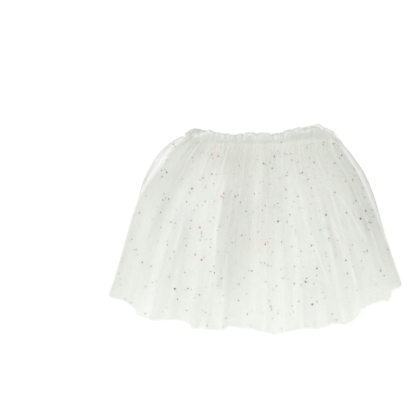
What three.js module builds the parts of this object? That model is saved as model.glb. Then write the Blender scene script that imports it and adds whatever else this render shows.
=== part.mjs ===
// A child's tulle tutu skirt, laid flat on a surface with its front up. Three gathered layers of net,
// each a front and a back panel joined at the sides, hang from a gathered casing over an elastic.
// Millimetres. +X is to the right as seen from above, +Y from the hem to the waist, +Z up off the surface.
import * as THREE from "three";

// Driving dimensions
const NET_LENGTH = 283; // from the casing to the hem, at the middle of the skirt
const WAIST_MIDDLE = { x: 8, y: 128 }; // where the middle fold leaves the casing
const NET_WALL = 1.1;
const SEAM_GAP = 0.4;
const CASING_LEFT = -104;
const CASING_RIGHT = 124;
const CASING_BACK_TOP = 6.4; // the back casing fills from the surface up to here
const CASING_FRONT_TOP = 13.9;
const CASING_GATHER = 0.9; // how far every second section of the casing stands proud
const CASING_END_ROUND = 8; // length of the rounding at each end of the casing
const CASING_END_DROP = 4.5; // how far the top edge falls there
const PUFF_DIP = 3; // deepest dip between two puffs of the casing
const PUFF_DIP_SHARE = 0.14; // and its depth as a share of the puff's width, where that is less
const WAIST_OPENING = 1.6; // how far the flattened waist opening gapes at its middle

// Shares of the net's length, counted from the casing
const EDGE_SETTLES = 0.2; // where the lines across no longer follow the casing's edge
const ROLL_FULL = 0.1; // where the sides have their full roundness
const LAYERS_SETTLE = 0.8; // where the layers reach their heights at the hem
const GATHERS_END = 0.42;
const FOLDS_START = 0.04;
const FOLDS_FULL = 0.74;

// The skirt's outline from casing to hem. along is the share of the net's length, left and right are the ends
// of a line drawn across the skirt, and puff is how far the outer net stands off the nets inside it there.
const SECTIONS = [
  { along: 0.0, leftX: -104, leftY: 137.5, rightX: 124, rightY: 137.5, leftPuff: 0, rightPuff: 0 },
  { along: 0.05, leftX: -118, leftY: 139.3, rightX: 129, rightY: 136, leftPuff: 5, rightPuff: 4 },
  { along: 0.12, leftX: -132.5, leftY: 129.5, rightX: 136, rightY: 126, leftPuff: 9, rightPuff: 6 },
  { along: 0.2, leftX: -148, leftY: 114, rightX: 147.5, rightY: 111.5, leftPuff: 11, rightPuff: 7.3 },
  { along: 0.32, leftX: -166, leftY: 84.5, rightX: 166, rightY: 84, leftPuff: 8.5, rightPuff: 7.3 },
  { along: 0.46, leftX: -179, leftY: 47, rightX: 180, rightY: 48, leftPuff: 1, rightPuff: 6.5 },
  { along: 0.6, leftX: -191.5, leftY: 9, rightX: 191, rightY: 11, leftPuff: 0, rightPuff: 2.3 },
  { along: 0.74, leftX: -202.5, leftY: -29, rightX: 202.5, rightY: -24, leftPuff: 0, rightPuff: 0 },
  { along: 0.87, leftX: -212.5, leftY: -65, rightX: 213, rightY: -54.5, leftPuff: 0, rightPuff: 0 },
  { along: 1.0, leftX: -222, leftY: -101, rightX: 222.5, rightY: -86, leftPuff: 0, rightPuff: 0 },
];

// The large folds of the front, left to right: width is a share against its neighbours, height a share of the
// layer's fold depth at the hem.
const FOLDS = [
  { width: 1.25, height: 0.45 },
  { width: 1.0, height: 0.7 },
  { width: 0.85, height: 0.95 },
  { width: 1.1, height: 0.75 },
  { width: 0.75, height: 1.1 },
  { width: 0.8, height: 1.0 },
  { width: 1.55, height: 0.35 },
  { width: 0.75, height: 1.1 },
  { width: 1.1, height: 0.8 },
  { width: 0.9, height: 1.05 },
  { width: 1.15, height: 0.7 },
  { width: 0.85, height: 1.0 },
  { width: 1.0, height: 0.75 },
  { width: 1.2, height: 0.5 },
];

// The raw cut hem of the front's outer net: how much longer than the smooth hem it hangs, across the skirt.
const HEM = [
  { across: -1.0, extra: 4 },
  { across: -0.88, extra: -5 },
  { across: -0.78, extra: 1 },
  { across: -0.68, extra: 2.5 },
  { across: -0.54, extra: -8 },
  { across: -0.4, extra: -1 },
  { across: -0.25, extra: 0 },
  { across: -0.08, extra: -4 },
  { across: 0.12, extra: 3.5 },
  { across: 0.3, extra: 1 },
  { across: 0.54, extra: 2.5 },
  { across: 0.66, extra: 5 },
  { across: 0.75, extra: -5 },
  { across: 0.83, extra: -4 },
  { across: 0.9, extra: 1 },
  { across: 0.95, extra: -2 },
  { across: 1.0, extra: 3 },
];

// The casing's lower edge, where the nets are sewn on.
const CASING_EDGE = [
  { x: -104, y: 137 },
  { x: -98, y: 133.6 },
  { x: -89, y: 131.3 },
  { x: -50, y: 129.8 },
  { x: 5, y: 128.4 },
  { x: 45, y: 130.4 },
  { x: 80, y: 134 },
  { x: 104, y: 134.6 },
  { x: 118, y: 135.2 },
  { x: 124, y: 137.4 },
];

// The puffs of cloth that the elastic bunches up along the casing's top edge.
const FRONT_PUFFS = [
  { from: -104, to: -74, top: 150.5 },
  { from: -74, to: -63, top: 150 },
  { from: -63, to: -46, top: 145.6 },
  { from: -46, to: -38, top: 144.9 },
  { from: -38, to: -29, top: 142.4 },
  { from: -29, to: -19, top: 144.6 },
  { from: -19, to: 1, top: 146.6 },
  { from: 1, to: 25, top: 145.9 },
  { from: 25, to: 40, top: 145 },
  { from: 40, to: 53, top: 149.6 },
  { from: 53, to: 73, top: 153.4 },
  { from: 73, to: 86, top: 155.4 },
  { from: 86, to: 104, top: 158.8 },
  { from: 104, to: 124, top: 149.5 },
];
const BACK_PUFFS = [
  { from: -104, to: -76, top: 153.2 },
  { from: -76, to: -58, top: 147 },
  { from: -58, to: -35, top: 143.5 },
  { from: -35, to: -8, top: 143 },
  { from: -8, to: 18, top: 144.5 },
  { from: 18, to: 42, top: 143.5 },
  { from: 42, to: 62, top: 150 },
  { from: 62, to: 84, top: 152.5 },
  { from: 84, to: 100, top: 156 },
  { from: 100, to: 124, top: 147.5 },
];

// A section through a casing half, from its sewn edge round its folded top: up is the share of its height in
// the plan, thick the share of its thickness.
const CASING_PROFILE = [
  { up: 0, thick: 0 },
  { up: 0.5, thick: 0 },
  { up: 0.78, thick: 0 },
  { up: 1, thick: 0.35 },
  { up: 0.94, thick: 0.75 },
  { up: 0.75, thick: 0.95 },
  { up: 0.35, thick: 1 },
  { up: 0, thick: 0.9 },
];

// The six panels of net. atWaist and atHem are the height of the cloth's lowest fold, gather and depth the
// height of its gathers at the casing and of its folds at the hem, perFold the gathers to each fold, samples
// the columns drawn to each fold, roll and fullRoll the radius of its rounded side at the casing and below,
// and shorter is how much shorter than the outer front net it is cut, give or take its rag.
const PANELS = [
  { name: "outer_tulle_front", side: "front", atWaist: 11.9, atHem: 9.3, gather: 1.4, perFold: 4,
    depth: 6.8, samples: 8, roll: 6, fullRoll: 9, shorter: 0, rag: 0 },
  { name: "middle_tulle_front", side: "front", atWaist: 9.9, atHem: 7.35, gather: 0, perFold: 0,
    depth: 5.2, samples: 4, roll: 4.2, fullRoll: 6.8, shorter: 2, rag: 1.5 },
  { name: "inner_tulle_front", side: "front", atWaist: 7.9, atHem: 5.4, gather: 0, perFold: 0,
    depth: 3.6, samples: 4, roll: 2.4, fullRoll: 4.4, shorter: 4, rag: 2 },
  { name: "inner_tulle_back", side: "back", atWaist: 4.3, atHem: 3.1, gather: 0, perFold: 0,
    depth: 2.4, samples: 2, roll: 2.4, fullRoll: 4.4, shorter: 5, rag: 2 },
  { name: "middle_tulle_back", side: "back", atWaist: 2.85, atHem: 1.55, gather: 0, perFold: 0,
    depth: 2.4, samples: 2, roll: 4.2, fullRoll: 6.8, shorter: 3, rag: 2 },
  { name: "outer_tulle_back", side: "back", atWaist: 0, atHem: 0, gather: 1.3, perFold: 2,
    depth: 2.4, samples: 4, roll: 6, fullRoll: 9, shorter: 1.5, rag: 1.5 },
];
const HEM_RAG_WAVES = [9, 23]; // radians of each ragged wave over half the skirt
const COARSE_ROWS = [0, 0.05, 0.12, 0.24, 0.4, 0.6, 0.8, 1];
const FINE_ROWS = [0, 0.05, 0.085, 0.12, 0.18, 0.24, 0.4, 0.6, 0.8, 0.9, 1];
const ROLL_ANGLES = [0, 30, 60].map(THREE.MathUtils.degToRad);
const CASING_SPANS_PER_FOLD = 4;

// Cloth colours
const NET_COLOUR = 0xe9ece6;
const INNER_NET_COLOUR = 0xe3e6e0;
const CASING_COLOUR = 0xe2e4de;
const cloth = (colour) =>
  new THREE.MeshStandardMaterial({ color: colour, roughness: 0.8, metalness: 0, side: THREE.DoubleSide });

const ease = (t) => THREE.MathUtils.smoothstep(t, 0, 1);
const mix = THREE.MathUtils.lerp;

// A smooth curve through one column of a table, straight on past its ends.
function along(table, key, column, at) {
  const last = table.length - 1;
  let i = 0;
  while (i < last - 1 && table[i + 1][key] < at) i += 1;
  const rise = (a, b) => (table[b][column] - table[a][column]) / (table[b][key] - table[a][key]);
  const slope = (k) => rise(Math.max(k - 1, 0), Math.min(k + 1, last));
  const width = table[i + 1][key] - table[i][key];
  const t = (at - table[i][key]) / width;
  if (t > 1) return table[last][column] + rise(last - 1, last) * (at - table[last][key]);
  const from = table[i][column];
  const to = table[i + 1][column];
  const startSlope = slope(i) * width;
  const endSlope = slope(i + 1) * width;
  const bend = startSlope + endSlope - 2 * (to - from);
  return from + t * (startSlope + t * (3 * (to - from) - 2 * startSlope - endSlope + t * bend));
}

const casingEdge = (x) => along(CASING_EDGE, "x", "y", x);

// The end of the line across the skirt at this share of its length, on the left (sign -1) or the right.
function sideEnd(sign, share) {
  const side = sign < 0 ? "left" : "right";
  return {
    x: along(SECTIONS, "along", `${side}X`, share),
    y: along(SECTIONS, "along", `${side}Y`, share),
    puff: Math.max(0, along(SECTIONS, "along", `${side}Puff`, share)),
  };
}

const middleX = (share) => WAIST_MIDDLE.x * (1 - share);
const halfWidth = (sign, share) => Math.abs(sideEnd(sign, share).x - middleX(share));

// A point of the skirt seen from above: across runs from -1 at the left side to 1 at the right. A line across
// is a cubic arc that curls up to the sides, and near the waist it eases into the casing's own edge.
function plan(across, share) {
  const end = sideEnd(across, share);
  const reach = Math.abs(across);
  const x = mix(middleX(share), end.x, reach);
  const arc = (endY, s) => mix(WAIST_MIDDLE.y - NET_LENGTH * s, endY, reach ** 3);
  const waistX = mix(middleX(0), sideEnd(across, 0).x, reach);
  const toCasing = casingEdge(waistX) - 2 * SEAM_GAP - arc(sideEnd(across, 0).y, 0);
  return { x, y: arc(end.y, share) + toCasing * (1 - ease(share / EDGE_SETTLES)) };
}

// The radius of a panel's rounded side, and of the outer net's, which bounds the folds of every layer.
const rollOf = (panel, share) => mix(panel.roll, panel.fullRoll, ease(share / ROLL_FULL));
const outerRoll = (sign, share) => rollOf(PANELS[0], share) + sideEnd(sign, share).puff;
function rollAt(panel, sign, share) {
  return panel.fullRoll === PANELS[0].fullRoll ? outerRoll(sign, share) : rollOf(panel, share);
}

// The columns of a panel, from its left side to its right: each lies either on the rounded side, at an angle
// up from the seam, or in a fold, at a share t through it.
function columnsOf(samples) {
  const total = FOLDS.reduce((sum, fold) => sum + fold.width, 0);
  const inFolds = [];
  let start = 0;
  FOLDS.forEach((fold) => {
    for (let k = 0; k < samples; k += 1) {
      inFolds.push({ fold, t: k / samples, s: (2 * (start + (fold.width * k) / samples)) / total - 1 });
    }
    start += fold.width;
  });
  inFolds.push({ fold: FOLDS[FOLDS.length - 1], t: 1, s: 1 });
  const rolled = (sign) => ROLL_ANGLES.map((angle) => ({ fold: FOLDS[0], t: 0, s: sign, angle }));
  return [...rolled(-1), ...inFolds, ...rolled(1).reverse()];
}

// How far across the skirt a column lies, once its side's roll is allowed for.
function acrossOf(panel, column, share) {
  const sign = column.s < 0 ? -1 : 1;
  const width = halfWidth(sign, share);
  const flat = width - outerRoll(sign, share);
  if (column.angle === undefined) return (column.s * flat) / width;
  const out = panel.side === "front" ? Math.cos(column.angle) : 1 - column.angle / (Math.PI / 2);
  return (sign * (flat + rollAt(panel, sign, share) * out)) / width;
}

// The length that a panel's raw edge adds at this place across: the outer hem's own waves, less the panel's
// shortfall, with ragged waves of its own.
function hemExtra(panel, across) {
  const waves = HEM_RAG_WAVES.map((pitch) => Math.sin(pitch * across + panel.shorter));
  const ragged = (panel.rag * (waves[0] + waves[1])) / 2;
  return along(HEM, "across", "extra", across) - panel.shorter + ragged;
}

const wave = (t) => 0.5 - 0.5 * Math.cos(2 * Math.PI * t);
const arch = (t) => Math.max(0, 1 - 4 * Math.abs(t - 0.5));

const lowest = (panel, share) => mix(panel.atWaist, panel.atHem, ease(share / LAYERS_SETTLE));

// The height of a panel's cloth in a fold: gathers that die out below the casing, over folds that grow to
// the hem. Back panels lie flat between low arches, so that they rest on what is under them.
function heightOf(panel, column, share) {
  const gathers = panel.gather * wave(column.t * panel.perFold) * (1 - ease(share / GATHERS_END));
  const ridge = panel.side === "front" ? wave(column.t) : arch(column.t);
  const grown = ease((share - FOLDS_START) / (FOLDS_FULL - FOLDS_START));
  return lowest(panel, share) + gathers + panel.depth * column.fold.height * ridge * grown;
}

// The top of the back panel that a front panel is seamed to at its side.
function seamHeight(panel, share) {
  const partner = PANELS.find((p) => p.side === "back" && p.fullRoll === panel.fullRoll);
  return lowest(partner, share) + NET_WALL + SEAM_GAP;
}

function clothPoint(panel, column, share) {
  const firstAcross = acrossOf(panel, column, share);
  const length = share + (hemExtra(panel, firstAcross) / NET_LENGTH) * share ** 3;
  const { x, y } = plan(acrossOf(panel, column, length), length);
  const top = heightOf(panel, column, length);
  if (column.angle === undefined || panel.side === "back") return new THREE.Vector3(x, y, top);
  const seam = seamHeight(panel, length);
  return new THREE.Vector3(x, y, mix(seam, top, Math.sin(column.angle)));
}

// A closed wall between two grids of points that match, point for point.
function wallBetween(lower, upper, name, colour) {
  const rows = lower.length;
  const columns = lower[0].length;
  const positions = [...lower.flat(), ...upper.flat()].flatMap((p) => [p.x, p.y, p.z]);
  const low = (r, c) => r * columns + c;
  const high = (r, c) => rows * columns + low(r, c);
  const faces = [];
  const quad = (a, b, c, d) => faces.push(a, b, c, a, c, d);
  for (let r = 0; r + 1 < rows; r += 1) {
    for (let c = 0; c + 1 < columns; c += 1) {
      quad(high(r, c), high(r + 1, c), high(r + 1, c + 1), high(r, c + 1));
      quad(low(r, c), low(r, c + 1), low(r + 1, c + 1), low(r + 1, c));
    }
    quad(low(r, 0), low(r + 1, 0), high(r + 1, 0), high(r, 0));
    quad(low(r + 1, columns - 1), low(r, columns - 1), high(r, columns - 1), high(r + 1, columns - 1));
  }
  for (let c = 0; c + 1 < columns; c += 1) {
    quad(low(0, c + 1), low(0, c), high(0, c), high(0, c + 1));
    quad(low(rows - 1, c), low(rows - 1, c + 1), high(rows - 1, c + 1), high(rows - 1, c));
  }
  return meshOf(positions, faces, name, colour);
}

function meshOf(positions, faces, name, colour) {
  const geometry = new THREE.BufferGeometry();
  geometry.setAttribute("position", new THREE.Float32BufferAttribute(positions, 3));
  geometry.setIndex(faces);
  geometry.computeVertexNormals();
  const mesh = new THREE.Mesh(geometry, cloth(colour));
  mesh.name = name;
  return mesh;
}

// The cloth's own direction out of its surface at one point of a grid, from its neighbours.
function outward(grid, r, c) {
  const right = grid[r][Math.min(c + 1, grid[r].length - 1)];
  const left = grid[r][Math.max(c - 1, 0)];
  const down = grid[Math.min(r + 1, grid.length - 1)][c];
  const up = grid[Math.max(r - 1, 0)][c];
  const out = right.clone().sub(left).cross(up.clone().sub(down));
  if (r === 0) out.y = 0; // the edge sewn to the casing keeps its line
  if (right === grid[r][c] || left === grid[r][c]) out.z = 0; // the side seam keeps its height
  return out.normalize();
}

// Front panels get their thickness both ways from the middle of the cloth, back panels upwards only, so that
// what lies on the surface stays flat underneath.
function tullePanel(panel) {
  const rows = panel.samples === 8 ? FINE_ROWS : COARSE_ROWS;
  const columns = columnsOf(panel.samples);
  const grid = rows.map((share) => columns.map((column) => clothPoint(panel, column, share)));
  const colour = panel.name.startsWith("outer") ? NET_COLOUR : INNER_NET_COLOUR;
  if (panel.side === "back") {
    const raised = grid.map((row) => row.map((p) => p.clone().setZ(p.z + NET_WALL)));
    return wallBetween(grid, raised, panel.name, colour);
  }
  const moved = (by) =>
    grid.map((row, r) => row.map((p, c) => p.clone().addScaledVector(outward(grid, r, c), by)));
  return wallBetween(moved(-NET_WALL / 2), moved(NET_WALL / 2), panel.name, colour);
}

// The height of a casing's top edge at x: each puff rises from the dip between it and the next.
function puffTop(puffs, x) {
  const puff = puffs.find((p) => x <= p.to) ?? puffs[puffs.length - 1];
  const t = THREE.MathUtils.clamp((x - puff.from) / (puff.to - puff.from), 0, 1);
  const dip = Math.min(PUFF_DIP, PUFF_DIP_SHARE * (puff.to - puff.from));
  const fromEnd = Math.min(1, Math.min(x - CASING_LEFT, CASING_RIGHT - x) / CASING_END_ROUND);
  const rounded = CASING_END_DROP * (1 - Math.sqrt(1 - (1 - fromEnd) ** 2));
  return puff.top - dip * (1 - Math.sqrt(Math.sin(Math.PI * t))) - rounded;
}

// A casing half, drawn as a row of closed sections from its left end to its right. underside gives the height
// of its lower face at x, and top the height of its upper face.
function casing({ name, puffs, underside, top }) {
  const spans = FOLDS.length * CASING_SPANS_PER_FOLD;
  const sections = [];
  for (let k = 0; k <= spans; k += 1) {
    const x = mix(CASING_LEFT, CASING_RIGHT, k / spans);
    const edge = casingEdge(x);
    const crest = puffTop(puffs, x);
    const face = top - (k % 2 ? 0 : CASING_GATHER);
    const point = ({ up, thick }) =>
      new THREE.Vector3(x, mix(edge, crest, up), mix(underside(x), face, thick));
    sections.push(CASING_PROFILE.map(point));
  }
  const ring = CASING_PROFILE.length;
  const faces = [];
  for (let k = 0; k < spans; k += 1) {
    for (let i = 0; i < ring; i += 1) {
      const j = (i + 1) % ring;
      const [a, b, c, d] = [k * ring + i, (k + 1) * ring + i, (k + 1) * ring + j, k * ring + j];
      faces.push(a, c, b, a, d, c);
    }
  }
  for (let i = 1; i + 1 < ring; i += 1) {
    faces.push(0, i + 1, i);
    faces.push(spans * ring, spans * ring + i, spans * ring + i + 1);
  }
  return meshOf(sections.flat().flatMap((p) => [p.x, p.y, p.z]), faces, name, CASING_COLOUR);
}

// The front casing's underside lifts at the middle, where the waist opening gapes.
function frontUnderside(x) {
  const share = (x - CASING_LEFT) / (CASING_RIGHT - CASING_LEFT);
  return CASING_BACK_TOP + 2 * SEAM_GAP + WAIST_OPENING * Math.sin(Math.PI * share) ** 2;
}

const tutu = new THREE.Group();
tutu.add(
  casing({ name: "waistband_front", puffs: FRONT_PUFFS, underside: frontUnderside, top: CASING_FRONT_TOP }),
  casing({ name: "waistband_back", puffs: BACK_PUFFS, underside: () => 0, top: CASING_BACK_TOP }),
  ...PANELS.map(tullePanel),
);

export default tutu;
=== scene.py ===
# %% [markdown]
# # A tulle tutu skirt, laid flat
# The real skirt is three gathered layers of soft net, sewn to a casing with an elastic in it, and
# sprinkled with glitter dots. It lies on a white surface with its front up. The solids that come with it
# already have its size and its large folds. Here each of them gets cloth that looks like net: a finer
# sheet on the same form, with the small gathers, creases and ragged hem that a thick wall can't hold.

import bpy
import numpy as np
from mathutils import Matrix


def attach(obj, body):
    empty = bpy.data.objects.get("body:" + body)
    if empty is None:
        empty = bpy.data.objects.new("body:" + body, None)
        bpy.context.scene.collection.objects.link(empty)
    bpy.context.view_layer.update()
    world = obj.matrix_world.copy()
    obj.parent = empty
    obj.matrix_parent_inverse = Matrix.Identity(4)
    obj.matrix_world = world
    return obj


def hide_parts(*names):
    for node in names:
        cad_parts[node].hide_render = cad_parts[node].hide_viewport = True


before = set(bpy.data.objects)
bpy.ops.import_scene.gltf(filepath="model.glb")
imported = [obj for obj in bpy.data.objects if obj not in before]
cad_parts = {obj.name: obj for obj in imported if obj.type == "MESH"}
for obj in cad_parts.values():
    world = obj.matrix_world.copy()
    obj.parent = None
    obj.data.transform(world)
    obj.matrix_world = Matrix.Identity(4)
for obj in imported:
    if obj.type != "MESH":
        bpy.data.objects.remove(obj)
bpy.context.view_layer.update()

# %% [markdown]
# Sizes are easiest to read in millimetres, so tables and formulas use them, and points are turned into
# metres when they go into a mesh. A table here is named columns, with a row for each fold or crease.

# %% Units, tables and smooth curves
MM = 0.001


def table(columns, *rows):
    """Named columns of numbers from rows written side by side."""
    return dict(zip(columns.split(), np.array(rows, float).T))


def curve(rows, key, column, at):
    """A smooth curve through one column of a table. Between two rows it is a cubic whose slope at each
    row is that of the chord between that row's neighbours, and past the last row it goes straight on."""
    knots, values = rows[key], rows[column]
    slopes = np.gradient(values, knots)
    slopes[1:-1] = (values[2:] - values[:-2]) / (knots[2:] - knots[:-2])
    at = np.asarray(at, float)
    i = np.clip(np.searchsorted(knots, at) - 1, 0, len(knots) - 2)
    width = knots[i + 1] - knots[i]
    t = (at - knots[i]) / width
    rise = values[i + 1] - values[i]
    start, end = slopes[i] * width, slopes[i + 1] * width
    inside = values[i] + t * (start + t * (3 * rise - 2 * start - end + t * (start + end - 2 * rise)))
    return np.where(t > 1, values[-1] + slopes[-1] * (at - knots[-1]), inside)


def ease(t):
    """Rises smoothly from 0 to 1 as t does: three times its square less twice its cube."""
    t = np.clip(t, 0, 1)
    return t * t * (3 - 2 * t)


def mix(a, b, share):
    """The value a share of the way from a to b."""
    return a + (b - a) * share


print("a quarter of the way up, ease gives", ease(0.25))

# %% [markdown]
# The outline comes first. A line drawn across the skirt runs from a left end to a right end, and the
# table gives those ends at places from the casing (0) to the hem (1). The outer net puffs out past the
# layers inside it at the shoulders, which is what puff gives. Each large fold has a width, a height and
# a lean, and the hem is a few millimetres longer or shorter from place to place.

# %% The outline, the large folds and the hem as tables
NET_LENGTH = 283.0
CASING_LEFT, CASING_RIGHT = -107.0, 124.0
SECTIONS = table(
    "along left_x left_y right_x right_y left_puff right_puff",
    (0.00, -104.0, 137.5, 124.0, 137.5, 0, 0),
    (0.02, -109.5, 142.3, 126.0, 138.5, 2, 1.5),
    (0.05, -118.0, 139.3, 129.0, 136.0, 3.5, 3),
    (0.12, -132.5, 129.5, 136.0, 126.0, 5.5, 4),
    (0.20, -148.0, 114.0, 147.5, 111.5, 9.5, 5.2),
    (0.32, -166.0, 84.5, 166.0, 84.0, 7.2, 6.4),
    (0.46, -179.6, 47.0, 181.0, 48.0, 1, 5.8),
    (0.60, -191.5, 9.0, 191.6, 11.0, 0, 2.3),
    (0.74, -202.5, -29.0, 202.5, -24.0, 0, 0),
    (0.87, -212.5, -65.0, 213.0, -54.5, 0, 0),
    (1.00, -224.0, -101.0, 223.5, -86.0, 0, 0),
)
FOLDS = table(
    "width height lean",
    (1.25, 0.45, 0.3),
    (1.00, 0.70, -0.4),
    (0.85, 0.95, 0.5),
    (1.10, 0.75, 0.2),
    (0.75, 1.10, -0.5),
    (0.80, 1.00, 0.4),
    (1.55, 0.35, -0.1),
    (0.75, 1.10, -0.5),
    (1.10, 0.80, 0.5),
    (0.90, 1.05, -0.3),
    (1.15, 0.70, 0.4),
    (0.85, 1.00, -0.5),
    (1.00, 0.75, -0.2),
    (1.20, 0.50, -0.4),
)
HEM = table(
    "across extra",
    (-1.00, 0.5),
    (-0.88, -5),
    (-0.78, 1),
    (-0.68, 2.5),
    (-0.54, -8),
    (-0.40, -1),
    (-0.25, 0),
    (-0.08, -4),
    (0.12, 3.5),
    (0.30, 1),
    (0.54, 2.5),
    (0.66, 5),
    (0.75, -5),
    (0.83, -4),
    (0.90, 1),
    (0.95, -2),
    (1.00, 0),
)
CASING_EDGE = table(
    "x y",
    (-104, 137.0),
    (-98, 133.6),
    (-89, 131.3),
    (-50, 129.8),
    (5, 128.4),
    (45, 130.4),
    (80, 134.0),
    (104, 134.6),
    (118, 135.2),
    (124, 137.4),
)
print(len(FOLDS["width"]), "large folds, and", len(HEM["extra"]), "places along the hem")

# %% [markdown]
# A point of the skirt is told by two numbers: how far across it lies, from -1 at the left side to 1 at
# the right, and its share of the way from the casing to the hem. These functions turn the two into a
# place seen from above. The casing's lower edge comes into it too, because the nets have to end there.

# %% From two numbers to a place seen from above
WAIST_MIDDLE_X, WAIST_MIDDLE_Y = 8.0, 128.0
UNDER_CASING = 0.8  # the solids' nets stop this far under the casing, and the thin ones go on up into it
WAIST_REACH = 0.2  # the share of the way down over which a row takes on the line of the casing's edge


def casing_edge(x):
    """The casing's lower edge, where the nets are sewn on: a smooth curve through its table."""
    return curve(CASING_EDGE, "x", "y", x)


def side_end(across, share):
    """x, y and puff of the line's end on the side that across lies on, from the outline's table."""
    end = lambda side, name: curve(SECTIONS, "along", side + "_" + name, share)
    on_left = np.asarray(across) < 0
    x, y, puff = (np.where(on_left, end("left", name), end("right", name)) for name in ("x", "y", "puff"))
    return x, y, np.maximum(0, puff)


def plan(across, share):
    """A point seen from above. x goes evenly from the middle line to the side, and y curls up to the
    side with the cube of the distance, plus a shift near the waist that brings the line onto the
    casing's own edge."""
    end_x, end_y, _ = side_end(across, share)
    waist_x, waist_y, _ = side_end(across, np.zeros_like(share))
    reach = np.abs(across)
    arc = lambda y_end, s: mix(WAIST_MIDDLE_Y - NET_LENGTH * s, y_end, reach**3)
    x = mix(WAIST_MIDDLE_X * (1 - share), end_x, reach)
    sewn_x = mix(WAIST_MIDDLE_X, waist_x, reach)
    to_casing = casing_edge(sewn_x) - UNDER_CASING - arc(waist_y, 0 * share)
    return x, arc(end_y, share) + to_casing * (1 - ease(share / WAIST_REACH))


middle_x, middle_y = plan(np.zeros(3), np.array([0, 0.5, 1.0]))
print("middle line from casing to hem, mm:", np.round(middle_y, 1))

# %% [markdown]
# Real net is never even, so the even shapes get small irregular ones on top: waves of several lengths
# added together, each with its own start. Seeded random numbers keep the skirt the same each time.

# %% Uneven waves
def uneven(at, cycles, seed, drift=0.0):
    """A sum of sines, from -1 to 1 or so. cycles lists how many waves each has for one unit of at, and
    each is weaker the more it has. drift moves the waves sideways, by an array or a number."""
    draw = np.random.default_rng(seed)
    total = 0
    norm = 0
    for count in cycles:
        weight = cycles[0] / count
        start = draw.uniform(0, 2 * np.pi)
        total = total + weight * np.sin(2 * np.pi * count * (at + drift) + start)
        norm += weight
    return total / norm**0.7


print("three waves of each kind:", uneven(np.array([0, 0.3, 0.6]), (5, 9), 11).round(2))

# %% [markdown]
# Each layer is described by one row: how high it lies at the waist and at the hem, how deep its gathers
# and folds are, how round its side is and how much shorter than the outer net it was cut. Front layers
# arch over the back ones, which lie flat, so the stack is thickest under a fold and thin at the sides.

# %% The six panels of net
PANELS = {
    "outer_tulle_front": dict(front=True, waist=11.9, hem=9.3, gather=1.4, per_fold=4, depth=6.8, roll=6.0,
                              full_roll=9.0, shorter=0, rag=0.0, columns=22, rows=96, seed=11),
    "middle_tulle_front": dict(front=True, waist=9.9, hem=7.35, gather=0.0, per_fold=4, depth=5.2, roll=4.2,
                               full_roll=8.2, shorter=0.5, rag=0.5, columns=18, rows=72, seed=12),
    "inner_tulle_front": dict(front=True, waist=7.9, hem=5.4, gather=0.0, per_fold=4, depth=3.6, roll=2.4,
                              full_roll=7.4, shorter=1.0, rag=0.6, columns=16, rows=56, seed=13),
    "inner_tulle_back": dict(front=False, waist=4.3, hem=3.1, gather=0.0, per_fold=2, depth=2.4, roll=2.4,
                             full_roll=7.4, shorter=1.4, rag=0.6, columns=16, rows=56, seed=14),
    "middle_tulle_back": dict(front=False, waist=2.85, hem=1.55, gather=0.0, per_fold=2, depth=2.4, roll=4.2,
                              full_roll=8.2, shorter=0.9, rag=0.6, columns=16, rows=56, seed=15),
    "outer_tulle_back": dict(front=False, waist=0.0, hem=0.0, gather=1.3, per_fold=2, depth=2.4, roll=6.0,
                             full_roll=9.0, shorter=0.4, rag=0.5, columns=20, rows=72, seed=16),
}
for name, panel in PANELS.items():
    panel["partner"] = name.replace("front", "back")
OUTER = PANELS["outer_tulle_front"]
print("panels:", list(PANELS))

# %% [markdown]
# A panel's points lie in rows across the skirt and in columns that run down along the folds. Its sides
# are rounded, so each has some closely set columns that turn down to the seam with the panel below it.

# %% Where the columns of a panel lie
ROUND_STEPS = 16  # columns on a rounded side
ROLL_GROWS = 0.1  # share of the way down


def is_outer(panel):
    """Whether this is one of the two outer nets, which stand off from the others at the shoulders."""
    return panel["full_roll"] == OUTER["full_roll"]


def roll_of(panel, share):
    """Radius of a panel's rounded side, growing just below the casing."""
    return mix(panel["roll"], panel["full_roll"], ease(share / ROLL_GROWS))


def columns_of(panel):
    """Places of a panel's columns: s across the folds, the phase t and height of the fold each lies in,
    its lean, and the angle up from the seam on a rounded side, or 90 degrees for the rest."""
    n = panel["columns"]
    edges = np.concatenate([[0], np.cumsum(FOLDS["width"])])
    fold = np.repeat(np.arange(len(FOLDS["width"])), n)
    t = np.tile(np.arange(n) / n, len(FOLDS["width"]))
    fold, t = np.append(fold, fold[-1]), np.append(t, 1.0)
    s = 2 * (edges[fold] + FOLDS["width"][fold] * t) / edges[-1] - 1
    round_angle = np.linspace(0, np.pi / 2, ROUND_STEPS, endpoint=False)
    side = np.ones(ROUND_STEPS)
    between_sides = lambda values: np.concatenate([0 * side, values, 0 * side])
    return dict(
        s=np.concatenate([-side, s, side]),
        t=between_sides(t),
        height=between_sides(FOLDS["height"][fold]),
        lean=between_sides(FOLDS["lean"][fold]),
        angle=np.concatenate([round_angle, np.full(len(s), np.pi / 2), round_angle[::-1]]),
    )


def half_width(across, share):
    """Distance from the middle line to the outline on that side of the skirt, and the puff there."""
    end_x, _, puff = side_end(across, share)
    return np.abs(end_x - WAIST_MIDDLE_X * (1 - share)), puff


def across_of(panel, place, share):
    """How far across the skirt each column lies at this share, from -1 to 1. The folds fill the flat
    middle, and a rounded side reaches past it by the cosine of its angle, or evenly on a flat panel."""
    width, puff = half_width(place["s"], share)
    flat = width - roll_of(OUTER, share) - puff
    own = roll_of(panel, share) + puff * is_outer(panel)
    out = np.cos(place["angle"]) if panel["front"] else 1 - place["angle"] / (np.pi / 2)
    return (place["s"] * flat + np.sign(place["s"]) * own * out) / width


def side_gap(panel, place, across, share):
    """Distance in from the panel's own side, in millimetres, along the line across the skirt."""
    width, puff = half_width(place["s"], share)
    short = roll_of(OUTER, share) - roll_of(panel, share) + puff * (not is_outer(panel))
    return np.maximum(0, width * (1 - np.abs(across)) - short)


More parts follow.
